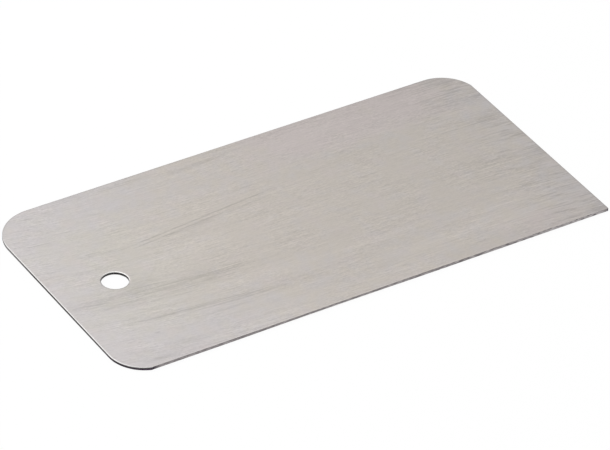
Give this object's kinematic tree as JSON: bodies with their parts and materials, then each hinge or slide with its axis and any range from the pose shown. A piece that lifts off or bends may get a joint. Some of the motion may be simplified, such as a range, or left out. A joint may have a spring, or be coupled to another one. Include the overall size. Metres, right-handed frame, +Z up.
{
  "type": "card scraper",
  "caption": "Flat rectangular steel card scraper with rounded corners, a sharp working corner, ground working edges and a hanging hole near one end.",
  "frame": {"origin": "on the lower face, below the middle of the plate's outline", "axes": "+X along the length, from the hole end to the far end; +Y from the ground long edge to the back edge; +Z up, through the thickness"},
  "size_m": [0.12, 0.061, 0.0007],
  "materials": {
    "blade_steel": "brushed along the length, with punched and ground edges"
  },
  "bodies": {
    "root": {"blade": "blade_steel"}
  },
  "joints": []
}
